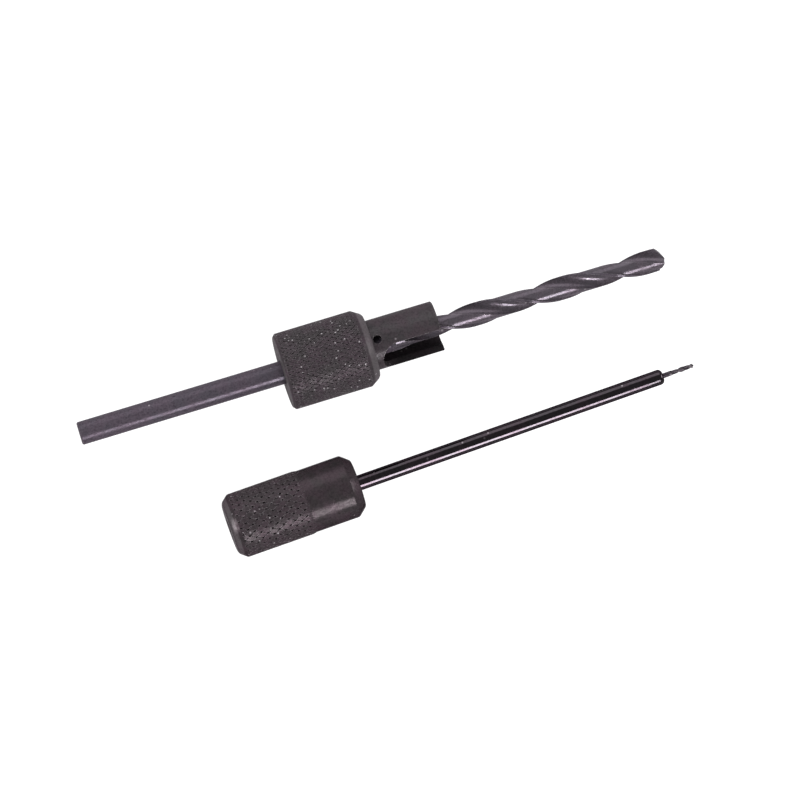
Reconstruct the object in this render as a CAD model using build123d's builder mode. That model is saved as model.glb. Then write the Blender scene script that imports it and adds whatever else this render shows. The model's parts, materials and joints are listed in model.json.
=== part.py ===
from build123d import *
from math import acos, degrees, radians, tan
import os

# Pin vise drill set: a depth-stop drill held by a knurled collet nut, and beside it a
# long-reach pin vise with a fine drill. Both lie level on the bench, tips towards +X.
# All sizes in millimetres.

# How the two tools lie
tool_spacing = 27.0  # between the axes, at the rear of the pin vise
vise_setback = 23.4  # the pin vise's rear end, ahead of the big drill's shank end
vise_turn = 2.5  # the pin vise points this much towards the big drill, degrees
bench_shift = -0.7  # sideways shift that puts the pair's outline centrally on the origin

# Gaps
running_gap = 0.05  # radial, between pieces that slide or turn in each other
seat_gap = 0.03  # between surfaces that are clamped onto each other

# Big twist drill
drill_diameter = 4.7625
shank_reach = 42.7  # bare shank behind the nut
drill_reach = 48.0  # drill ahead of the stop sleeve
drill_lead = 36.3  # one full turn of the flutes
flute_length = 58.5
lip_turn = 41.0  # where the cutting lips stand at the tip, from level, degrees

# Collet nut
nut_diameter = 15.875
nut_length = 18.65
nut_rear_chamfer = 0.6
nut_nose_slope = 2.1  # length of the nose chamfer along the nut
nut_nose_drop = 1.1  # how far the nose chamfer comes in
nut_wall = 3.2  # rear wall that pushes the collet
nut_mouth = 2.5  # plain counterbore around the sleeve

# Collet
collet_collar = 2.2
collet_length = 9.7
collet_nose_wall = 0.55
slit_width = 0.5
slit_count = 4

# Stop sleeve
sleeve_diameter = 10.3
sleeve_reach = 14.1  # sleeve showing ahead of the nut
sleeve_shoulder = 0.3875  # how far the thread stands below the plain sleeve
seat_wall = 0.86  # sleeve's wall around the collet's rear
sleeve_wall = 1.15
seat_mouth = 3.3  # gap from the nut's rear wall to the sleeve's threaded end
window_width = 6.6
window_start = 1.25  # ahead of the nut
window_turn = 50.5  # from straight up, towards the pin vise, degrees
tommy_hole = 1.8
tommy_offset = 1.2  # ahead of the nut
tommy_turn = 9.0  # from straight up, away from the pin vise, degrees

# Pin vise handle
handle_diameter = 13.0
handle_length = 27.5
handle_rear_slope = 1.7
handle_rear_drop = 1.15
handle_rear_edge = 0.3  # length of the second, steeper chamfer at the rear
handle_rear_edge_drop = 0.75
handle_nose_slope = 1.9
handle_nose_drop = 1.3
handle_nose_edge = 0.35
knurl_end = 16.3
knurl_rise = 0.17  # the knurl stands this far above the plain band
rear_bore = 4.8
rear_bore_depth = 9.0

# Spindle and fine drill
spindle_diameter = 3.175
spindle_reach = 65.6  # spindle showing ahead of the handle
spindle_tail = 5.5  # how far inside the handle its rear end stands
spindle_nose_round = 0.9
fine_drill_diameter = 1.016
fine_drill_reach = 6.6
fine_drill_socket = 5.0
fine_drill_lead = 5.2
fine_flute_length = 5.6

# Clamp screw under the handle's plain band
clamp_offset = 21.5
clamp_screw_diameter = 3.0
clamp_screw_length = 2.9
clamp_socket = 1.5  # across flats
clamp_socket_depth = 1.4
clamp_pad_diameter = 2.6
clamp_pad_thickness = 1.2

drill_radius = drill_diameter / 2
nut_radius = nut_diameter / 2
sleeve_radius = sleeve_diameter / 2
thread_radius = sleeve_radius - sleeve_shoulder
handle_radius = handle_diameter / 2
knurl_radius = handle_radius + knurl_rise
spindle_radius = spindle_diameter / 2
chamber_radius = sleeve_radius - sleeve_wall
sleeve_nose = nut_length + sleeve_reach
drill_tip = sleeve_nose + drill_reach
big_tool_length = shank_reach + drill_tip

# Each tool is drawn on an upright plane through its own axis: first number along the
# axis from the rear face of the nut or handle, second number the radius.
big_axis_y = tool_spacing / 2 + bench_shift
big_tool = Plane(
    origin=(shank_reach - big_tool_length / 2, big_axis_y, nut_radius),
    x_dir=(1, 0, 0),
    z_dir=(0, -1, 0),
)
pin_vise = Plane(
    origin=(vise_setback - big_tool_length / 2, big_axis_y - tool_spacing, knurl_radius),
    x_dir=Vector(1, 0, 0).rotate(Axis.Z, vise_turn),
    z_dir=Vector(0, -1, 0).rotate(Axis.Z, vise_turn),
)
big_axis = Axis(big_tool.origin, big_tool.x_dir)
vise_axis = Axis(pin_vise.origin, pin_vise.x_dir)


def across(tool, station):
    """Plane square to the tool's axis, facing the tip, X level and Y up."""
    return Plane(
        origin=tool.from_local_coords(Vector(station, 0, 0)),
        x_dir=-tool.z_dir,
        z_dir=tool.x_dir,
    )


def facing_out(tool, station, turn):
    """Plane on the tool's axis that faces out at a turn from straight up."""
    outward = tool.y_dir.rotate(Axis(tool.origin, tool.x_dir), turn)
    return Plane(
        origin=tool.from_local_coords(Vector(station, 0, 0)),
        x_dir=tool.x_dir,
        z_dir=outward,
    )


def draw_drill_section(diameter, turn):
    """Two-flute section with narrow margins; a cutting edge points at the given turn."""
    radius = diameter / 2
    flute_radius = 0.36 * diameter
    flute_offset = 0.115 * diameter + flute_radius
    margin = 0.1 * diameter
    reach = flute_offset**2 + radius**2 - flute_radius**2
    flute_half_angle = degrees(acos(reach / (2 * flute_offset * radius)))
    Circle(0.425 * diameter)
    with PolarLocations(radius / 2, 2, start_angle=turn):
        with Locations((0, -margin / 2)):
            Rectangle(1.2 * radius, margin)
    Circle(radius, mode=Mode.INTERSECT)
    with PolarLocations(flute_offset, 2, start_angle=turn + flute_half_angle):
        Circle(flute_radius, mode=Mode.SUBTRACT)


def cut_drill_point(tool, tip, diameter, turn):
    """Grinds two flats that fall away from the cutting lips of a 118 degree point."""
    lip_slope = tan(radians(31))
    relief_slope = tan(radians(12))
    tip_plane = across(tool, tip)
    spin_axis = Axis(tip_plane.origin, tip_plane.z_dir)
    for side in (turn, turn + 180):
        along_lip = tip_plane.x_dir.rotate(spin_axis, side)
        behind_lip = -tip_plane.y_dir.rotate(spin_axis, side)
        normal = tip_plane.z_dir + along_lip * lip_slope + behind_lip * relief_slope
        with Locations(Plane(origin=tip_plane.origin, z_dir=normal)):
            Box(
                4 * diameter,
                4 * diameter,
                2 * diameter,
                align=(Align.CENTER, Align.CENTER, Align.MIN),
                mode=Mode.SUBTRACT,
            )


# Big twist drill: one bar from the shank's end, through nut and collet, to the tip
flute_start = drill_tip - flute_length
flute_runout = 1.3 * drill_diameter
with BuildLine() as drill_path:
    Line(
        big_tool.from_local_coords(Vector(flute_start, 0, 0)),
        big_tool.from_local_coords(Vector(drill_tip, 0, 0)),
    )
with BuildLine() as drill_guide:
    Helix(
        drill_lead,
        flute_length,
        drill_diameter,
        center=big_tool.from_local_coords(Vector(flute_start, 0, 0)),
        direction=big_tool.x_dir,
    )
with BuildPart() as twist_drill:
    with BuildSketch(across(big_tool, flute_start)):
        draw_drill_section(drill_diameter, lip_turn - 360 * flute_length / drill_lead)
    sweep(path=drill_path.line, binormal=drill_guide.edge())
    with BuildSketch(big_tool):
        with BuildLine():
            Polyline(
                (-shank_reach, 0),
                (-shank_reach, drill_radius - 0.25),
                (-shank_reach + 0.25, drill_radius),
                (flute_start, drill_radius),
                (flute_start + flute_runout, 0.25 * drill_radius),
                (flute_start + flute_runout, 0),
                close=True,
            )
        make_face()
    revolve(axis=big_axis)
    cut_drill_point(big_tool, drill_tip, drill_diameter, lip_turn)

# Collet: split cone between the nut's rear wall and the sleeve's seat
collet_rear = nut_wall + seat_gap
collet_nose = collet_rear + collet_length
collet_rear_radius = thread_radius - seat_wall
collet_nose_radius = drill_radius + running_gap + collet_nose_wall
collet_taper = (collet_rear_radius - collet_nose_radius) / (collet_length - collet_collar)
with BuildPart() as collet:
    with BuildSketch(big_tool):
        with BuildLine():
            Polyline(
                (collet_rear, drill_radius + running_gap),
                (collet_rear, collet_rear_radius - 0.3),
                (collet_rear + 0.3, collet_rear_radius),
                (collet_rear + collet_collar, collet_rear_radius),
                (collet_nose, collet_nose_radius),
                (collet_nose, drill_radius + running_gap),
                close=True,
            )
        make_face()
    revolve(axis=big_axis)
    with BuildSketch(across(big_tool, collet_rear + collet_collar)):
        with PolarLocations(collet_rear_radius / 2, slit_count, start_angle=45):
            Rectangle(collet_rear_radius, slit_width)
    extrude(amount=collet_length, mode=Mode.SUBTRACT)

# Stop sleeve: threaded rear with the collet seat, then the open chip chamber
thread_end = nut_wall + seat_mouth
shoulder = nut_length - nut_mouth + 0.5
seat_depth = thread_end - collet_rear - collet_collar
seat_radius = collet_rear_radius + seat_gap - seat_depth * collet_taper
seat_end = collet_nose + 0.3
neck_radius = collet_nose_radius
chamber_start = nut_length - 0.2
with BuildPart() as stop_sleeve:
    with BuildSketch(big_tool):
        with BuildLine():
            Polyline(
                (thread_end, seat_radius),
                (thread_end, thread_radius - 0.4),
                (thread_end + 0.4, thread_radius),
                (shoulder, thread_radius),
                (shoulder, sleeve_radius),
                (sleeve_nose - 0.2, sleeve_radius),
                (sleeve_nose, sleeve_radius - 0.2),
                (sleeve_nose, chamber_radius),
                (chamber_start, chamber_radius),
                (chamber_start - 0.8, neck_radius),
                (seat_end, neck_radius),
                (collet_nose, collet_nose_radius + seat_gap),
                close=True,
            )
        make_face()
    revolve(axis=big_axis)
    with BuildSketch(facing_out(big_tool, nut_length + window_start, window_turn)):
        with Locations((window_width / 2, 0)):
            Circle(window_width / 2)
            Rectangle(2 * sleeve_reach, window_width, align=(Align.MIN, Align.CENTER))
    extrude(amount=sleeve_diameter, mode=Mode.SUBTRACT)
    with BuildSketch(facing_out(big_tool, nut_length + tommy_offset, -tommy_turn)):
        Circle(tommy_hole / 2)
    extrude(amount=sleeve_diameter, mode=Mode.SUBTRACT)

# Collet nut: knurled barrel that screws onto the sleeve and pushes the collet in
with BuildPart() as knurled_nut:
    with BuildSketch(big_tool):
        with BuildLine():
            Polyline(
                (0, drill_radius + 2 * running_gap),
                (0, nut_radius - nut_rear_chamfer),
                (nut_rear_chamfer, nut_radius),
                (nut_length - nut_nose_slope, nut_radius),
                (nut_length - 0.4, nut_radius - nut_nose_drop),
                (nut_length, nut_radius - nut_nose_drop - 0.5),
                (nut_length, sleeve_radius + running_gap),
                (nut_length - nut_mouth, sleeve_radius + running_gap),
                (nut_length - nut_mouth, thread_radius + running_gap),
                (nut_wall, thread_radius + running_gap),
                (nut_wall, drill_radius + 2 * running_gap),
                close=True,
            )
        make_face()
    revolve(axis=big_axis)
    fillet(knurled_nut.edges().filter_by(GeomType.CIRCLE).group_by(SortBy.RADIUS)[-1], 0.25)

# Pin vise handle: knurled grip, plain band, open rear bore, screw hole underneath
clamp_hole_radius = clamp_screw_diameter / 2 + running_gap
with BuildPart() as handle:
    with BuildSketch(pin_vise):
        with BuildLine():
            Polyline(
                (0, rear_bore / 2),
                (0, knurl_radius - handle_rear_drop - handle_rear_edge_drop),
                (handle_rear_edge, knurl_radius - handle_rear_drop),
                (handle_rear_slope, knurl_radius),
                (knurl_end, knurl_radius),
                (knurl_end + knurl_rise, handle_radius),
                (handle_length - handle_nose_slope, handle_radius),
                (handle_length - handle_nose_edge, handle_radius - handle_nose_drop),
                (handle_length, handle_radius - handle_nose_drop - handle_nose_edge),
                (handle_length, spindle_radius + running_gap),
                (rear_bore_depth + 0.7, spindle_radius + running_gap),
                (rear_bore_depth, rear_bore / 2),
                close=True,
            )
        make_face()
    revolve(axis=vise_axis)
    with BuildSketch(facing_out(pin_vise, clamp_offset, 180)):
        Circle(clamp_hole_radius)
    extrude(amount=handle_diameter, mode=Mode.SUBTRACT)

# Spindle: polished rod with a rounded nose and a blind socket for the fine drill
spindle_nose = handle_length + spindle_reach
with BuildPart() as spindle:
    with BuildSketch(pin_vise):
        with BuildLine():
            Polyline(
                (spindle_tail, 0),
                (spindle_tail, spindle_radius - 0.25),
                (spindle_tail + 0.25, spindle_radius),
                (spindle_nose, spindle_radius),
                (spindle_nose, fine_drill_diameter / 2),
                (spindle_nose - fine_drill_socket, fine_drill_diameter / 2),
                (spindle_nose - fine_drill_socket, 0),
                close=True,
            )
        make_face()
    revolve(axis=vise_axis)
    nose_edge = spindle.edges().filter_by(GeomType.CIRCLE).sort_by(Axis.X)[-2:].sort_by(SortBy.RADIUS)
    fillet(nose_edge[-1], spindle_nose_round)

# Fine drill: pressed into the spindle's socket
fine_tip = spindle_nose + fine_drill_reach
fine_flute_start = fine_tip - fine_flute_length
fine_runout = 1.3 * fine_drill_diameter
with BuildLine() as fine_path:
    Line(
        pin_vise.from_local_coords(Vector(fine_flute_start, 0, 0)),
        pin_vise.from_local_coords(Vector(fine_tip, 0, 0)),
    )
with BuildLine() as fine_guide:
    Helix(
        fine_drill_lead,
        fine_flute_length,
        fine_drill_diameter,
        center=pin_vise.from_local_coords(Vector(fine_flute_start, 0, 0)),
        direction=pin_vise.x_dir,
    )
with BuildPart() as fine_drill:
    with BuildSketch(across(pin_vise, fine_flute_start)):
        draw_drill_section(fine_drill_diameter, -360 * fine_flute_length / fine_drill_lead)
    sweep(path=fine_path.line, binormal=fine_guide.edge())
    with BuildSketch(pin_vise):
        with BuildLine():
            Polyline(
                (spindle_nose - fine_drill_socket, 0),
                (spindle_nose - fine_drill_socket, fine_drill_diameter / 2),
                (fine_flute_start, fine_drill_diameter / 2),
                (fine_flute_start + fine_runout, 0.12 * fine_drill_diameter),
                (fine_flute_start + fine_runout, 0),
                close=True,
            )
        make_face()
    revolve(axis=vise_axis)
    cut_drill_point(pin_vise, fine_tip, fine_drill_diameter, 0)

# Clamp pad: soft disc that the screw presses onto the spindle
with BuildPart() as clamp_pad:
    with BuildSketch(facing_out(pin_vise, clamp_offset, 180).offset(spindle_radius + seat_gap)):
        Circle(clamp_pad_diameter / 2)
    extrude(amount=clamp_pad_thickness)
    chamfer(clamp_pad.edges().filter_by(GeomType.CIRCLE), 0.15)

# Clamp screw: headless socket screw in the handle's underside
screw_start = spindle_radius + clamp_pad_thickness + 2 * seat_gap
with BuildPart() as clamp_screw:
    with BuildSketch(facing_out(pin_vise, clamp_offset, 180).offset(screw_start)):
        Circle(clamp_screw_diameter / 2)
    extrude(amount=clamp_screw_length)
    chamfer(clamp_screw.edges().filter_by(GeomType.CIRCLE), 0.3)
    with BuildSketch(facing_out(pin_vise, clamp_offset, 180).offset(screw_start + clamp_screw_length)):
        RegularPolygon(clamp_socket / 2, 6, major_radius=False)
    extrude(amount=-clamp_socket_depth, mode=Mode.SUBTRACT)

os.makedirs("parts", exist_ok=True)
pieces = {
    "stop_sleeve": stop_sleeve,
    "knurled_nut": knurled_nut,
    "collet": collet,
    "twist_drill": twist_drill,
    "handle": handle,
    "spindle": spindle,
    "fine_drill": fine_drill,
    "clamp_pad": clamp_pad,
    "clamp_screw": clamp_screw,
}
for name, piece in pieces.items():
    piece.part.label = name
    export_step(piece.part, f"parts/{name}.step")
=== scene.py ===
import json
import math
from collections import namedtuple
from itertools import pairwise

import bpy
from mathutils import Matrix, Vector


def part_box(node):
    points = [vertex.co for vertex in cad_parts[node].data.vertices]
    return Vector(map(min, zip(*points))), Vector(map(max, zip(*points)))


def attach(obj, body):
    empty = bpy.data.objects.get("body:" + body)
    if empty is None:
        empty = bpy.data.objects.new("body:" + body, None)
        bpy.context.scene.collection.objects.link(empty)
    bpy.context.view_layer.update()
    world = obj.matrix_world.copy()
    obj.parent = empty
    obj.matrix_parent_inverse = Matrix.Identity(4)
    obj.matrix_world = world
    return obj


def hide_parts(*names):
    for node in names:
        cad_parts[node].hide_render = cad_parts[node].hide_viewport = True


# A depth-stop drill in a knurled collet nut, and a long-reach pin vise beside it, both in
# black oxide steel. All sizes in metres.

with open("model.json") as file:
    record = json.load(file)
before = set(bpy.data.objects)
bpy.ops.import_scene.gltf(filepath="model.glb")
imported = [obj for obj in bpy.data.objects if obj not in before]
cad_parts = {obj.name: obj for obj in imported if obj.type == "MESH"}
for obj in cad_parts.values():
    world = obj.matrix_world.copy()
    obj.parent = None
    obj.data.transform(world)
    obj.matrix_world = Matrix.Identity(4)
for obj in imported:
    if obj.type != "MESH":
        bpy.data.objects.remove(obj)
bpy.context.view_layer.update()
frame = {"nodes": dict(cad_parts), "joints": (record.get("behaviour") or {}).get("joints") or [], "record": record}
mm = 0.001

# Where the two tools lie
nut_low, nut_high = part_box("knurled_nut")
sleeve_low, sleeve_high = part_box("stop_sleeve")
mounts = {mount["name"]: mount for mount in frame["record"]["mounts"]}
joints = {joint["name"]: joint for joint in frame["joints"]}
handle_low, handle_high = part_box("handle")
big_tool = Vector((nut_low.x, (nut_low.y + nut_high.y) / 2, (nut_low.z + nut_high.z) / 2))
handle_rear = mounts["handle_end"]["pos_m"]
pin_vise = Vector((handle_rear[0], handle_rear[1], (handle_low.z + handle_high.z) / 2))
vise_direction = Vector(joints["spindle_slide"]["axis"])
vise_turn = math.atan2(vise_direction.y, vise_direction.x)

# Collet nut
nut_radius = (nut_high.z - nut_low.z) / 2
nut_length = nut_high.x - nut_low.x
nut_rear_chamfer = 0.6 * mm
nut_nose_slope = 2.1 * mm
nut_nose_drop = 1.1 * mm
nut_nose_face = 0.4 * mm
nut_nose_corner = 0.5 * mm
nut_rounding = 0.12 * mm
nut_wall = 3.2 * mm
nut_mouth = 2.5 * mm
thread_clearance = 0.3375 * mm
nut_cells_around = 50
nut_cell_length = 1.7 * mm
nut_groove_depth = 0.12 * mm
nut_groove_half = 0.08 * mm
nut_crossing = 0.15 * mm
nut_pit_depth = 0.1 * mm

# Pin vise handle
knurl_radius = (handle_high.z - handle_low.z) / 2
knurl_rise = 0.17 * mm
band_radius = knurl_radius - knurl_rise
handle_length = 27.5 * mm
handle_rear_slope = 1.7 * mm
handle_rear_drop = 1.15 * mm
handle_rear_edge = 0.3 * mm
handle_rear_edge_drop = 0.75 * mm
handle_nose_slope = 1.9 * mm
handle_nose_drop = 1.3 * mm
handle_nose_edge = 0.35 * mm
knurl_end = 16.3 * mm
knurl_fade = 0.7 * mm
knurl_overrun = 0.15 * mm
shoulder_rise = 1 * mm
handle_rounding = 0.2 * mm
rear_bore_radius = 2.4 * mm
rear_bore_depth = 9.0 * mm
rear_bore_cone = 0.7 * mm
handle_cells_around = 30
handle_cell_length = 2.42 * mm
handle_groove_depth = 0.06 * mm
handle_groove_half = 0.05 * mm
handle_crossing = 0.25 * mm
handle_pit_depth = 0.28 * mm
clamp_hole_radius = 1.55 * mm
clamp_hole_overshoot = 0.5 * mm

# Drill, sleeve and spindle
drill_low, drill_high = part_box("twist_drill")
drill_radius = (drill_high.z - drill_low.z) / 2
sleeve_radius = (sleeve_high.z - sleeve_low.z) / 2
spindle_low, spindle_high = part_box("spindle")
spindle_radius = (spindle_high.z - spindle_low.z) / 2
fine_low, fine_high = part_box("fine_drill")
fine_radius = (fine_high.z - fine_low.z) / 2
running_gap = 0.05 * mm

ROUND = 128
COARSE_ROUND = 64
SMOOTH_ANGLE = math.radians(25)
CORNER_ANGLE = math.radians(15)

Grooves = namedtuple("Grooves", "depth half_width crossing pit_depth")


# ---------------------------------------------------------------- modelling


def select_only(piece):
    bpy.ops.object.select_all(action="DESELECT")
    piece.select_set(True)
    bpy.context.view_layer.objects.active = piece


def pick_edges(piece, wanted):
    """In edit mode, selects just the edges whose two ends satisfy wanted(a, b)."""
    bpy.ops.mesh.select_mode(type="EDGE")
    bpy.ops.mesh.select_all(action="DESELECT")
    bpy.ops.object.mode_set(mode="OBJECT")
    points = piece.data.vertices
    for edge in piece.data.edges:
        a, b = (points[i].co for i in edge.vertices)
        edge.select = wanted(a, b)
    bpy.ops.object.mode_set(mode="EDIT")


def apply_modifiers(piece):
    select_only(piece)
    for modifier in list(piece.modifiers):
        bpy.ops.object.modifier_apply(modifier=modifier.name)


def turned(name, outline, rounding):
    """Turns a closed section about Z; it is a list of (height, radius) that starts at the
    rear bore's edge."""
    bpy.ops.object.select_all(action="DESELECT")
    bpy.ops.mesh.primitive_circle_add(
        vertices=ROUND, radius=outline[0][1], fill_type="NOTHING"
    )
    blank = bpy.context.object
    blank.name = name
    bpy.ops.object.mode_set(mode="EDIT")
    bpy.ops.mesh.select_all(action="SELECT")
    for (height, radius), (next_height, next_radius) in pairwise(outline):
        step = (0, 0, next_height - height)
        growth = next_radius / radius
        bpy.ops.mesh.extrude_region_move(TRANSFORM_OT_translate={"value": step})
        bpy.ops.transform.resize(value=(growth, growth, 1), center_override=(0, 0, 0))
    bpy.ops.mesh.select_mode(type="EDGE")
    bpy.ops.mesh.select_all(action="DESELECT")
    bpy.ops.mesh.select_non_manifold()
    bpy.ops.mesh.bridge_edge_loops()
    bpy.ops.mesh.select_all(action="SELECT")
    bpy.ops.mesh.normals_make_consistent(inside=False)
    bpy.ops.object.mode_set(mode="OBJECT")
    bevel = blank.modifiers.new("rounded corners", "BEVEL")
    bevel.width = rounding
    bevel.segments = 3
    bevel.limit_method = "ANGLE"
    bevel.angle_limit = CORNER_ANGLE
    apply_modifiers(blank)
    return blank


def pick_faces(piece, wanted):
    """In edit mode, selects just the faces that satisfy wanted(face)."""
    bpy.ops.mesh.select_mode(type="FACE")
    bpy.ops.mesh.select_all(action="DESELECT")
    bpy.ops.object.mode_set(mode="OBJECT")
    for face in piece.data.polygons:
        face.select = wanted(face)
    bpy.ops.object.mode_set(mode="EDIT")


def diamond_bar(name, crest, around, cell_length, rows, grooves, start, shoulder=None):
    """Bar about Z covered in diamonds that stand a little proud of the crest radius, two
    staggered sets of `around` by `rows`. Where the grooves cross, their corners are cut to
    small faces, which sink as pits. With a shoulder radius, the bar widens to it past the
    diamonds and runs on plain."""
    proud = grooves.depth + 0.1 * mm
    valley = crest - grooves.depth
    length = rows * cell_length
    half_cell = cell_length / 2
    quarter_cell = cell_length / 4
    diamond_area = math.pi * crest / around * cell_length
    pit_area = 0.3 * diamond_area
    rim = 0.001 * mm
    bpy.ops.object.select_all(action="DESELECT")
    bpy.ops.mesh.primitive_cylinder_add(
        vertices=around,
        radius=valley,
        depth=length,
        end_fill_type="NOTHING",
        location=(0, 0, start + length / 2),
    )
    bar = bpy.context.object
    bar.name = name
    bpy.ops.object.transform_apply(location=True)
    bpy.ops.object.mode_set(mode="EDIT")
    pick_edges(bar, lambda a, b: abs(a.z - b.z) > cell_length)
    bpy.ops.mesh.subdivide(number_cuts=rows - 1)
    bpy.ops.mesh.select_all(action="SELECT")
    bpy.ops.mesh.poke()
    pick_edges(
        bar,
        lambda a, b: abs(abs(a.z - b.z) - half_cell) > quarter_cell
        and start + quarter_cell < (a.z + b.z) / 2 < start + length - quarter_cell,
    )
    bpy.ops.mesh.dissolve_edges(use_verts=False)
    bpy.ops.mesh.select_mode(type="VERT")
    bpy.ops.mesh.select_all(action="SELECT")
    bpy.ops.mesh.bevel(offset=grooves.crossing, affect="VERTICES")
    pick_faces(bar, lambda face: face.area < pit_area)
    wall = 0.25 * grooves.crossing
    bpy.ops.mesh.inset(thickness=wall, depth=-grooves.pit_depth, use_individual=True)
    pick_faces(bar, lambda face: face.area > pit_area)
    flank = grooves.half_width * proud / grooves.depth
    bpy.ops.mesh.inset(thickness=flank, depth=proud, use_individual=True)
    pick_edges(bar, lambda a, b: max(a.z, b.z) < start + rim)
    bpy.ops.mesh.edge_face_add()
    pick_edges(bar, lambda a, b: min(a.z, b.z) > start + length - rim)
    if shoulder:
        growth = shoulder / valley
        bpy.ops.mesh.extrude_region_move(TRANSFORM_OT_translate={"value": (0, 0, 0)})
        bpy.ops.transform.resize(value=(growth, growth, 1), center_override=(0, 0, 0))
        bpy.ops.mesh.extrude_region_move(TRANSFORM_OT_translate={"value": (0, 0, length)})
    bpy.ops.mesh.edge_face_add()
    bpy.ops.mesh.select_all(action="SELECT")
    bpy.ops.mesh.normals_make_consistent(inside=False)
    bpy.ops.object.mode_set(mode="OBJECT")
    return bar


def combine(piece, other, operation):
    """Applies a boolean of piece with other, and removes other."""
    boolean = piece.modifiers.new(operation.lower(), "BOOLEAN")
    boolean.operation = operation
    boolean.solver = "MANIFOLD"
    boolean.object = other
    apply_modifiers(piece)
    bpy.data.objects.remove(other)


def lay_down(piece, origin, turn):
    """Lays a piece modelled upright along its tool, with its place in its mesh."""
    piece.rotation_euler = (0, math.pi / 2, turn)
    piece.location = origin
    select_only(piece)
    bpy.ops.object.transform_apply(location=True, rotation=True, scale=True)
    bpy.ops.object.shade_smooth_by_angle(angle=SMOOTH_ANGLE)


def knurled_nut():
    """Knurled barrel with a smooth nose chamfer, bored for the sleeve's thread."""
    thread_radius = sleeve_radius - thread_clearance
    outline = [
        (0, drill_radius + 2 * running_gap),
        (0, nut_radius - nut_rear_chamfer),
        (nut_rear_chamfer, nut_radius),
        (nut_length - nut_nose_slope, nut_radius),
        (nut_length - nut_nose_face, nut_radius - nut_nose_drop),
        (nut_length, nut_radius - nut_nose_drop - nut_nose_corner),
        (nut_length, sleeve_radius + running_gap),
        (nut_length - nut_mouth, sleeve_radius + running_gap),
        (nut_length - nut_mouth, thread_radius),
        (nut_wall, thread_radius),
        (nut_wall, drill_radius + 2 * running_gap),
    ]
    blank = turned("nut blank", outline, nut_rounding)
    rows = math.ceil(nut_length / nut_cell_length) + 2
    nut = diamond_bar(
        "collet_nut",
        nut_radius,
        nut_cells_around,
        nut_cell_length,
        rows,
        Grooves(nut_groove_depth, nut_groove_half, nut_crossing, nut_pit_depth),
        -nut_cell_length,
    )
    combine(nut, blank, "INTERSECT")
    lay_down(nut, big_tool, 0)
    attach(nut, "nut")
    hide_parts("knurled_nut")
    return nut


def knurled_handle():
    """Knurled grip with a plain band, open at the rear; the clamp screw's hole is below."""
    spindle_bore = spindle_radius + running_gap
    outline = [
        (0, rear_bore_radius),
        (0, knurl_radius - handle_rear_drop - handle_rear_edge_drop),
        (handle_rear_edge, knurl_radius - handle_rear_drop),
        (handle_rear_slope, knurl_radius),
        (knurl_end - knurl_fade, knurl_radius),
        (knurl_end + knurl_rise, band_radius),
        (handle_length - handle_nose_slope, band_radius),
        (handle_length - handle_nose_edge, band_radius - handle_nose_drop),
        (handle_length, band_radius - handle_nose_drop - handle_nose_edge),
        (handle_length, spindle_bore),
        (rear_bore_depth + rear_bore_cone, spindle_bore),
        (rear_bore_depth, rear_bore_radius),
    ]
    blank = turned("handle blank", outline, handle_rounding)
    rows = math.ceil(knurl_end / handle_cell_length) + 1
    handle = diamond_bar(
        "grip_handle",
        knurl_radius,
        handle_cells_around,
        handle_cell_length,
        rows,
        Grooves(handle_groove_depth, handle_groove_half, handle_crossing, handle_pit_depth),
        knurl_end + knurl_overrun - rows * handle_cell_length,
        shoulder=knurl_radius + shoulder_rise,
    )
    combine(handle, blank, "INTERSECT")
    lay_down(handle, pin_vise, vise_turn)
    screw_low, screw_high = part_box("clamp_screw")
    screw_middle = (screw_low + screw_high) / 2
    bpy.ops.object.select_all(action="DESELECT")
    bpy.ops.mesh.primitive_cylinder_add(
        vertices=COARSE_ROUND,
        radius=clamp_hole_radius,
        depth=pin_vise.z,
        location=(screw_middle.x, screw_middle.y, pin_vise.z / 2 - clamp_hole_overshoot),
    )
    combine(handle, bpy.context.object, "DIFFERENCE")
    select_only(handle)
    bpy.ops.object.shade_smooth_by_angle(angle=SMOOTH_ANGLE)
    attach(handle, "vise_handle")
    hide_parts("handle")
    return handle


# ---------------------------------------------------------------- finishes


# Pale oxide: real wear on the rubbed edges, and painted highlight on the knurled parts' chamfers
WORN_AND_LIT_PALE = (0.22, 0.2, 0.21, 1)
# Pale colour of the glint dots on the knurls, a painted highlight where diamonds would catch the light
PAINTED_GLINT_COLOUR = (0.55, 0.52, 0.54, 1)
DUST = (0.3, 0.27, 0.29, 1)
# Near-black for the knurl pits: dirt, and painted shade of the deep recesses
PIT_DIRT_AND_SHADE = (0.006, 0.005, 0.005, 1)
SPOT_TINT = (0.62, 0.6, 0.62, 1)
FAINT_RIM = (0.35, 0.33, 0.35, 1)
PALE_RIM = (0.9, 0.86, 0.9, 1)

# How strongly each mark covers the oxide
EDGE_WEAR = 0.6
SPECK_DUST = 0.35
SCRATCH_DUST = 0.5
# Share of the painted glint highlight in the glint dots
PAINTED_GLINT_SHARE = 0.4
# Share of dirt and painted shade in the knurl pits
PIT_DIRT_AND_SHADE_SHARE = 0.5
# The chamfers below the knurl get a pale share of colour as a painted highlight
SLOPE_PAINTED_LIGHT = 0.17
GROUND_DUST = 0.07

# How much each mark adds to the roughness
EDGE_ROUGHER = -0.08
KNURL_ROUGHER = 0.06
PIT_ROUGHER = 0.4

# Depths below the crests where pits and slopes begin and where they count in full
PIT_START = 0.11 * mm
PIT_FULL = 0.2 * mm
SLOPE_START = 0.4 * mm
SLOPE_FULL = 0.6 * mm

# A drill's ground flutes, as parts of its radius
GROUND_START = 0.96
GROUND_FULL = 0.87
GROUND_METALLIC = 0.45

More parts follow.
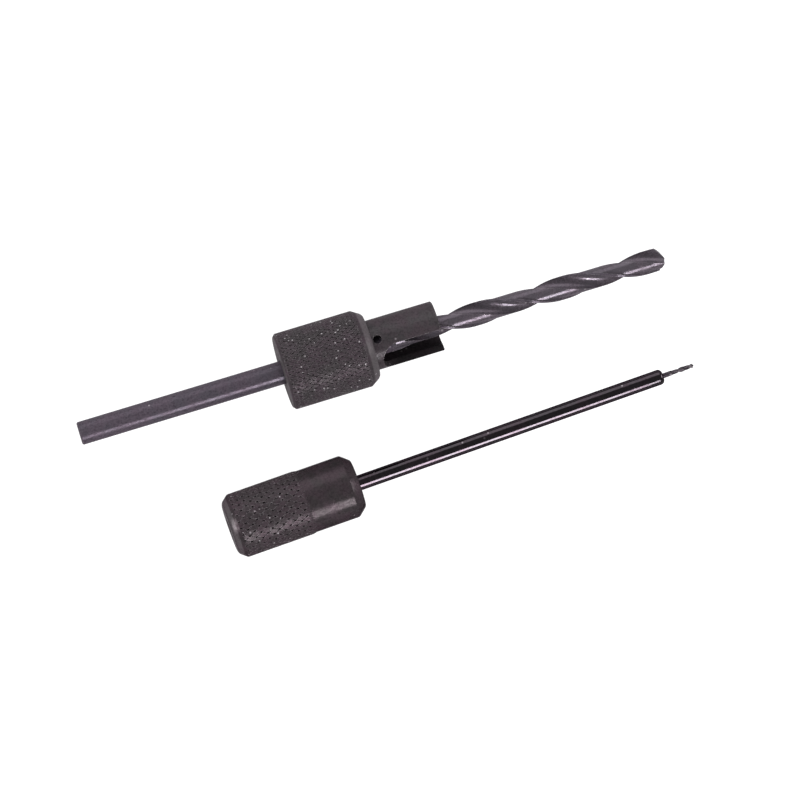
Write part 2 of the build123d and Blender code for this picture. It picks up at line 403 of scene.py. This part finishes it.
# Texture scales, per metre, and the heights of the reliefs
MOTTLE_SCALE = 1300.0
GRAIN_SCALE = 4000.0
GLINT_SCALE = 1500.0
GLINT_SIZE = 0.24
TURNING_HEIGHT = 0.006 * mm
GRAIN_HEIGHT = 0.004 * mm

# A knurled stretch: its crest radius, its two ends along the tool, its metallic value, its
# share of painted glint highlights, and how far along the tool the slopes below the crests are painted pale as
# highlight
Knurling = namedtuple("Knurling", "crest start end metallic glints pale_end")


def set_inputs(node, inputs):
    """Gives the node's sockets values, or links them to sockets of earlier nodes."""
    for socket, value in dict(inputs).items():
        if isinstance(value, bpy.types.NodeSocket):
            node.id_data.links.new(value, node.inputs[socket])
        else:
            node.inputs[socket].default_value = value


def add(tree, kind, inputs=(), **settings):
    """Adds a node with its settings and inputs."""
    made = tree.nodes.new(kind)
    for setting, value in settings.items():
        setattr(made, setting, value)
    set_inputs(made, inputs)
    return made


def maths(tree, operation, first, second=0.0):
    made = add(tree, "ShaderNodeMath", {0: first, 1: second}, operation=operation)
    return made.outputs[0]


def ramp(tree, value, low, high, out_low=0.0, out_high=1.0):
    """Maps low..high smoothly onto out_low..out_high."""
    sockets = {"Value": value, 1: low, 2: high, 3: out_low, 4: out_high}
    made = add(tree, "ShaderNodeMapRange", sockets, interpolation_type="SMOOTHSTEP")
    return made.outputs[0]


def below(tree, value, full, start):
    """Mask that is 1 where the value is under full, and fades to 0 at start."""
    return ramp(tree, value, full, start, 1.0, 0.0)


def blend(tree, amount, first, second, mode="MIX"):
    sockets = {"Factor": amount, 6: first, 7: second}
    made = add(tree, "ShaderNodeMix", sockets, data_type="RGBA", blend_type=mode)
    return made.outputs[2]


def raise_by(tree, value, mask, amount):
    """Adds the given amount to a value where the mask is full."""
    return maths(tree, "ADD", value, maths(tree, "MULTIPLY", mask, amount))


def cover(tree, colour, coat, mask, share):
    """Lays a coat over a colour, with the given share of it where the mask is full."""
    return blend(tree, maths(tree, "MULTIPLY", mask, share), colour, coat)


def noise(tree, vector, scale, detail=3.0):
    sockets = {"Vector": vector, "Scale": scale, "Detail": detail}
    return add(tree, "ShaderNodeTexNoise", sockets).outputs["Fac"]


def new_group(name, takes, gives):
    """Node group with named sockets: takes has (name, kind, value), gives (name, kind)."""
    group = bpy.data.node_groups.new(name, "ShaderNodeTree")
    sockets = group.interface
    for label, kind, value in takes:
        socket = sockets.new_socket(label, in_out="INPUT", socket_type="NodeSocket" + kind)
        socket.default_value = value
    for label, kind in gives:
        sockets.new_socket(label, in_out="OUTPUT", socket_type="NodeSocket" + kind)
    return group, add(group, "NodeGroupInput").outputs, add(group, "NodeGroupOutput").inputs


def oxide_group():
    """Uneven black oxide: charcoal with warmer patches and fine darker spots."""
    takes = [
        ("Vector", "Vector", (0, 0, 0)),
        ("Charcoal", "Color", (0.06, 0.06, 0.06, 1)),
        ("Warm", "Color", (0.08, 0.06, 0.07, 1)),
        ("Patch scale", "Float", 300.0),
    ]
    gives = [("Color", "Color"), ("Patches", "Float")]
    group, given, out = new_group("black oxide", takes, gives)
    cloud = noise(group, given["Vector"], given["Patch scale"], 4.0)
    patches = ramp(group, cloud, 0.35, 0.65)
    fine_scale = maths(group, "MULTIPLY", given["Patch scale"], 9.0)
    fine = noise(group, given["Vector"], fine_scale)
    tinted = blend(group, patches, given["Charcoal"], given["Warm"])
    darker = blend(group, 1.0, tinted, SPOT_TINT, mode="MULTIPLY")
    spotted = blend(group, ramp(group, fine, 0.42, 0.75), tinted, darker)
    group.links.new(spotted, out["Color"])
    group.links.new(patches, out["Patches"])
    return group


def turning_group():
    """Fine lathe lines around the tool's own axis, which is X in the vector it takes."""
    takes = [("Vector", "Vector", (0, 0, 0)), ("Lines", "Float", 5000.0)]
    group, given, out = new_group("turning marks", takes, [("Height", "Float")])
    stretch = {0: given["Vector"], 1: (1.0, 0.03, 0.03)}
    flat = add(group, "ShaderNodeVectorMath", stretch, operation="MULTIPLY").outputs[0]
    group.links.new(noise(group, flat, given["Lines"], 2.0), out["Height"])
    return group


def radius_group():
    """Distance from the X axis of the vector it takes."""
    takes = [("Vector", "Vector", (0, 0, 0))]
    group, given, out = new_group("distance from axis", takes, [("Radius", "Float")])
    stretch = {0: given["Vector"], 1: (0.0, 1.0, 1.0)}
    flat = add(group, "ShaderNodeVectorMath", stretch, operation="MULTIPLY").outputs[0]
    length = add(group, "ShaderNodeVectorMath", {0: flat}, operation="LENGTH")
    group.links.new(length.outputs["Value"], out["Radius"])
    return group


def edge_group():
    """Mask of the corners where handling has rubbed the oxide thin, broken up by noise."""
    takes = [
        ("Vector", "Vector", (0, 0, 0)),
        ("Width", "Float", 0.15 * mm),
        ("Grain", "Float", 2500.0),
    ]
    group, given, out = new_group("rubbed edges", takes, [("Mask", "Float")])
    rounded = add(group, "ShaderNodeBevel", {"Radius": given["Width"]}, samples=6)
    facing = add(group, "ShaderNodeNewGeometry").outputs["True Normal"]
    compare = {0: rounded.outputs[0], 1: facing}
    agree = add(group, "ShaderNodeVectorMath", compare, operation="DOT_PRODUCT")
    corner = ramp(group, agree.outputs["Value"], 0.995, 0.85)
    broken = ramp(group, noise(group, given["Vector"], given["Grain"]), 0.35, 0.6)
    group.links.new(maths(group, "MULTIPLY", corner, broken), out["Mask"])
    return group


def speck_group():
    """Scattered small specks, used for dust and for the painted glint highlights on the knurls."""
    takes = [
        ("Vector", "Vector", (0, 0, 0)),
        ("Scale", "Float", 900.0),
        ("Size", "Float", 0.2),
        ("Share", "Float", 0.06),
    ]
    group, given, out = new_group("specks", takes, [("Mask", "Float")])
    sockets = {"Vector": given["Vector"], "Scale": given["Scale"]}
    cells = add(group, "ShaderNodeTexVoronoi", sockets)
    small = maths(group, "LESS_THAN", cells.outputs["Distance"], given["Size"])
    split = add(group, "ShaderNodeSeparateColor", {0: cells.outputs["Color"]})
    chosen = maths(group, "LESS_THAN", split.outputs[0], given["Share"])
    group.links.new(maths(group, "MULTIPLY", small, chosen), out["Mask"])
    return group


def scratch_group():
    """Sparse fine scratches, slanting across the tool's axis."""
    takes = [("Vector", "Vector", (0, 0, 0)), ("Share", "Float", 0.04)]
    group, given, out = new_group("scratches", takes, [("Mask", "Float")])
    slant = {
        "Vector": given["Vector"],
        "Rotation": (0.4, 0.3, 0.5),
        "Scale": (90, 700, 700),
    }
    slanting = add(group, "ShaderNodeMapping", slant).outputs[0]
    cells = add(group, "ShaderNodeTexVoronoi", {"Vector": slanting, "Scale": 1.0})
    thin = maths(group, "LESS_THAN", cells.outputs["Distance"], 0.1)
    split = add(group, "ShaderNodeSeparateColor", {0: cells.outputs["Color"]})
    chosen = maths(group, "LESS_THAN", split.outputs[0], given["Share"])
    group.links.new(maths(group, "MULTIPLY", thin, chosen), out["Mask"])
    return group


groups = {}


def use(tree, name, inputs):
    """Places a shared group in a material and returns its outputs."""
    return add(tree, "ShaderNodeGroup", inputs, node_tree=groups[name]).outputs


def start_material(name, origin, turn):
    """Material with a Principled shader, and coordinates whose X runs along the tool."""
    material = bpy.data.materials.new(name)
    material.use_nodes = True
    tree = material.node_tree
    tree.nodes.clear()
    shader = add(tree, "ShaderNodeBsdfPrincipled")
    add(tree, "ShaderNodeOutputMaterial", {"Surface": shader.outputs[0]})
    place = {
        "Vector": add(tree, "ShaderNodeTexCoord").outputs["Object"],
        "Location": origin,
        "Rotation": (0, 0, turn),
    }
    along = add(tree, "ShaderNodeMapping", place, vector_type="TEXTURE").outputs[0]
    return material, tree, shader, along


def bump(tree, height, distance, strength):
    sockets = {"Height": height, "Distance": distance, "Strength": strength}
    return add(tree, "ShaderNodeBump", sockets).outputs[0]


def axis_distance(tree, along):
    return use(tree, "distance from axis", {"Vector": along})["Radius"]


def knurled(tree, along, knurling, colour, roughness, metallic):
    """Looks of a knurled stretch: painted glints, dirt and painted shade in the pits, and slopes painted pale as a
    highlight.
    """
    crest = knurling.crest
    radius = axis_distance(tree, along)
    station = add(tree, "ShaderNodeSeparateXYZ", {0: along}).outputs[0]
    after = maths(tree, "GREATER_THAN", station, knurling.start)
    before = maths(tree, "LESS_THAN", station, knurling.end)
    zone = maths(tree, "MULTIPLY", after, before)
    deep = below(tree, radius, crest - PIT_FULL, crest - PIT_START)
    pits = maths(tree, "MULTIPLY", zone, deep)
    dots = {
        "Vector": along,
        "Scale": GLINT_SCALE,
        "Size": GLINT_SIZE,
        "Share": knurling.glints,
    }
    glints = maths(tree, "MULTIPLY", zone, use(tree, "specks", dots)["Mask"])
    sloping = below(tree, radius, crest - SLOPE_FULL, crest - SLOPE_START)
    near = maths(tree, "LESS_THAN", station, knurling.pale_end)
    painted_pale_slopes = maths(tree, "MULTIPLY", sloping, near)
    # Painted highlight: pale dots on the knurl where its diamonds would catch the light
    colour = cover(tree, colour, PAINTED_GLINT_COLOUR, glints, PAINTED_GLINT_SHARE)
    # Dirt and painted shade: the pits below the crests made near-black
    colour = cover(tree, colour, PIT_DIRT_AND_SHADE, pits, PIT_DIRT_AND_SHADE_SHARE)
    # Painted highlight: the chamfers below the crests made pale, only up to the given end along the tool
    colour = cover(tree, colour, WORN_AND_LIT_PALE, painted_pale_slopes, SLOPE_PAINTED_LIGHT)
    roughness = raise_by(tree, roughness, zone, KNURL_ROUGHER)
    roughness = raise_by(tree, roughness, pits, PIT_ROUGHER)
    return colour, roughness, ramp(tree, zone, 0, 1, metallic, knurling.metallic)


def oxide_steel(name, place, tones, rough, metallic, rim, knurling=None, drill=None):
    """Black oxide steel: tones are its charcoal and its warmer patches, and rim is what it
    reflects where it turns away. Drill gives a drill's radius; what lies deeper is ground,
    so it shines more."""
    charcoal, warm = tones
    material, tree, shader, along = start_material(name, *place)
    oxide = use(tree, "black oxide", {"Vector": along, "Charcoal": charcoal, "Warm": warm})
    turning = use(tree, "turning marks", {"Vector": along})["Height"]
    edges = use(tree, "rubbed edges", {"Vector": along})["Mask"]
    specks = use(tree, "specks", {"Vector": along})["Mask"]
    scratches = use(tree, "scratches", {"Vector": along})["Mask"]
    colour = cover(tree, oxide["Color"], WORN_AND_LIT_PALE, edges, EDGE_WEAR)
    colour = cover(tree, colour, DUST, specks, SPECK_DUST)
    colour = cover(tree, colour, DUST, scratches, SCRATCH_DUST)
    uneven = ramp(tree, oxide["Patches"], 0, 1, rough - 0.04, rough + 0.06)
    mottled = ramp(tree, noise(tree, along, MOTTLE_SCALE, 2.0), 0.38, 0.62, 0.72, 1.15)
    roughness = maths(tree, "MULTIPLY", uneven, mottled)
    roughness = raise_by(tree, roughness, edges, EDGE_ROUGHER)
    if knurling:
        colour, roughness, metallic = knurled(
            tree, along, knurling, colour, roughness, metallic
        )
    if drill:
        radius = axis_distance(tree, along)
        ground = below(tree, radius, GROUND_FULL * drill, GROUND_START * drill)
        colour = cover(tree, colour, DUST, ground, GROUND_DUST)
        metallic = ramp(tree, ground, 0, 1, metallic, GROUND_METALLIC)
    set_inputs(
        shader,
        {
            "Base Color": colour,
            "Roughness": roughness,
            "Metallic": metallic,
            "Normal": bump(tree, turning, TURNING_HEIGHT, 0.6),
            "Specular IOR Level": 0.0,
            "Specular Tint": rim,
        },
    )
    return material


def plain_metal(name, place, colour, rough):
    """Bright metal with a fine uneven finish."""
    material, tree, shader, along = start_material(name, *place)
    grain = noise(tree, along, GRAIN_SCALE)
    darker = tuple(0.75 * channel for channel in colour[:3]) + (1,)
    set_inputs(
        shader,
        {
            "Base Color": blend(tree, grain, colour, darker),
            "Roughness": ramp(tree, grain, 0.3, 0.7, rough - 0.06, rough + 0.06),
            "Metallic": 1.0,
            "Normal": bump(tree, grain, GRAIN_HEIGHT, 0.5),
        },
    )
    return material


def finish(piece, material):
    piece.data.materials.clear()
    piece.data.materials.append(material)


def finish_node(name, material):
    frame["nodes"][name].material_slots[0].material = material


def finish_drilling_tool(nut):
    place = (big_tool, 0)
    nut_steel = oxide_steel(
        "knurled black oxide, nut",
        place,
        tones=((0.035, 0.031, 0.033, 1), (0.042, 0.032, 0.038, 1)),
        rough=0.42,
        metallic=0.2,
        rim=PALE_RIM,
        knurling=Knurling(
            crest=nut_radius,
            start=nut_rear_chamfer,
            end=nut_length - nut_nose_slope,
            metallic=0.22,
            # Painted glint highlights, and both nut chamfers painted pale as highlight
            glints=0.16,
            pale_end=nut_length,
        ),
    )
    sleeve_steel = oxide_steel(
        "turned black oxide, sleeve",
        place,
        tones=((0.038, 0.035, 0.037, 1), (0.043, 0.034, 0.039, 1)),
        rough=0.4,
        metallic=0.26,
        rim=PALE_RIM,
    )
    drill_steel = oxide_steel(
        "black drill steel, big",
        place,
        tones=((0.055, 0.048, 0.059, 1), (0.061, 0.049, 0.062, 1)),
        rough=0.26,
        metallic=0.22,
        rim=PALE_RIM,
        drill=drill_radius,
    )
    finish(nut, nut_steel)
    finish_node("stop_sleeve", sleeve_steel)
    finish_node("twist_drill", drill_steel)
    finish_node("collet", plain_metal("spring steel", place, (0.3, 0.3, 0.31, 1), 0.32))


def finish_pin_vise(handle):
    place = (pin_vise, vise_turn)
    handle_steel = oxide_steel(
        "knurled black oxide, handle",
        place,
        tones=((0.034, 0.029, 0.031, 1), (0.04, 0.03, 0.035, 1)),
        rough=0.3,
        metallic=0.42,
        rim=FAINT_RIM,
        knurling=Knurling(
            crest=knurl_radius,
            start=handle_rear_slope,
            end=knurl_end,
            metallic=0.24,
            # Few painted glint highlights; only the rear chamfer is painted pale as highlight
            glints=0.03,
            pale_end=knurl_end,
        ),
    )
    spindle_steel = oxide_steel(
        "polished black oxide",
        place,
        tones=((0.035, 0.031, 0.035, 1), (0.039, 0.031, 0.037, 1)),
        rough=0.13,
        metallic=1.0,
        rim=FAINT_RIM,
    )
    drill_steel = oxide_steel(
        "black drill steel, fine",
        place,
        tones=((0.034, 0.029, 0.035, 1), (0.038, 0.03, 0.038, 1)),
        rough=0.26,
        metallic=0.3,
        rim=FAINT_RIM,
        drill=fine_radius,
    )
    screw_steel = oxide_steel(
        "screw black oxide",
        place,
        tones=((0.035, 0.033, 0.035, 1), (0.042, 0.035, 0.04, 1)),
        rough=0.4,
        metallic=0.2,
        rim=FAINT_RIM,
    )
    finish(handle, handle_steel)
    finish_node("spindle", spindle_steel)
    finish_node("fine_drill", drill_steel)
    finish_node("clamp_pad", plain_metal("pad brass", place, (0.72, 0.5, 0.2, 1), 0.4))
    finish_node("clamp_screw", screw_steel)


for group in (
    oxide_group(),
    turning_group(),
    radius_group(),
    edge_group(),
    speck_group(),
    scratch_group(),
):
    groups[group.name] = group

finish_drilling_tool(knurled_nut())
finish_pin_vise(knurled_handle())

# ---------------------------------------------------------------- floor, lights and camera


FLOOR_RADIUS = 4
FLOOR_HEIGHT = -0.02 * mm
PAPER_GREY = (0.2, 0.2, 0.2, 1)
PAPER_GLOW = 0.9
WORLD_STRENGTH = 0.42


def white_floor():
    """White paper that glows for the rays that see it, and sends little light back up."""
    bpy.ops.object.select_all(action="DESELECT")
    bpy.ops.mesh.primitive_circle_add(
        vertices=COARSE_ROUND, radius=FLOOR_RADIUS, fill_type="NGON"
    )
    floor = bpy.context.object
    floor.name = "floor"
    floor.location = (0, 0, FLOOR_HEIGHT)
    bpy.ops.object.transform_apply(location=True)
    material = bpy.data.materials.new("white paper")
    material.use_nodes = True
    tree = material.node_tree
    tree.nodes.clear()
    paper = add(tree, "ShaderNodeBsdfDiffuse", {"Color": PAPER_GREY})
    path = add(tree, "ShaderNodeLightPath").outputs
    seen = maths(tree, "MAXIMUM", path["Is Camera Ray"], path["Is Glossy Ray"])
    seen = maths(tree, "MAXIMUM", seen, path["Is Transmission Ray"])
    strength = maths(tree, "MULTIPLY", seen, PAPER_GLOW)
    glow = add(tree, "ShaderNodeEmission", {"Strength": strength})
    both = add(tree, "ShaderNodeAddShader", {0: paper.outputs[0], 1: glow.outputs[0]})
    add(tree, "ShaderNodeOutputMaterial", {"Surface": both.outputs[0]})
    floor.data.materials.append(material)


def softbox(name, target, lean, axis, distance, width, length, radiance, reflected):
    """Rectangular lamp that leans by some degrees about an axis from straight above its
    target. Radiance is what a ray that meets it sees."""
    data = bpy.data.lights.new(name, "AREA")
    data.shape = "RECTANGLE"
    data.size = length
    data.size_y = width
    data.energy = radiance * math.pi * width * length
    lamp = bpy.data.objects.new(name, data)
    bpy.context.scene.collection.objects.link(lamp)
    aim = Matrix.Translation(target) @ Matrix.Rotation(math.radians(lean), 4, axis)
    lamp.matrix_world = aim @ Matrix.Translation((0, 0, distance))
    lamp.visible_glossy = reflected


white_floor()
middle = Vector((0, 0, 7 * mm))
key_target = middle + Vector((55 * mm, 0, 0))
# Name, target, lean, axis, distance, width, length, radiance, seen as a reflection
lamps = [
    ("key softbox", key_target, 57, "X", 0.7, 0.33, 0.22, 26.0, True),
    ("fill softbox", middle, -60, "X", 0.8, 0.6, 1.2, 2.4, True),
    ("rear card", middle, -71, "Y", 0.7, 0.35, 0.25, 12.0, True),
    ("tip card", middle, 70, "Y", 0.7, 0.35, 0.25, 9.0, True),
    ("far glow", middle, -76, "X", 0.9, 0.5, 1.2, 4.2, False),
]
for lamp in lamps:
    softbox(*lamp)

world = bpy.data.worlds.new("dim studio")
bpy.context.scene.world = world
world.use_nodes = True
surroundings = world.node_tree.nodes["Background"]
set_inputs(surroundings, {"Color": (1, 1, 1, 1), "Strength": WORLD_STRENGTH})

camera_target = Vector((2.04 * mm, 0.63 * mm, 8 * mm))
camera_distance = 1.2
camera_tilt = Matrix.Rotation(math.radians(-4.5), 4, "Y")
camera_roll = Matrix.Rotation(math.radians(-16.85), 4, "Z")
camera_data = bpy.data.cameras.new("camera")
camera_data.lens = 267.84
camera_data.clip_end = 20
camera = bpy.data.objects.new("camera", camera_data)
bpy.context.scene.collection.objects.link(camera)
stand = Matrix.Translation(camera_target) @ camera_tilt @ camera_roll
camera.matrix_world = stand @ Matrix.Translation((0, 0, camera_distance))
bpy.context.scene.camera = camera
bpy.context.scene.view_settings.view_transform = "Standard"
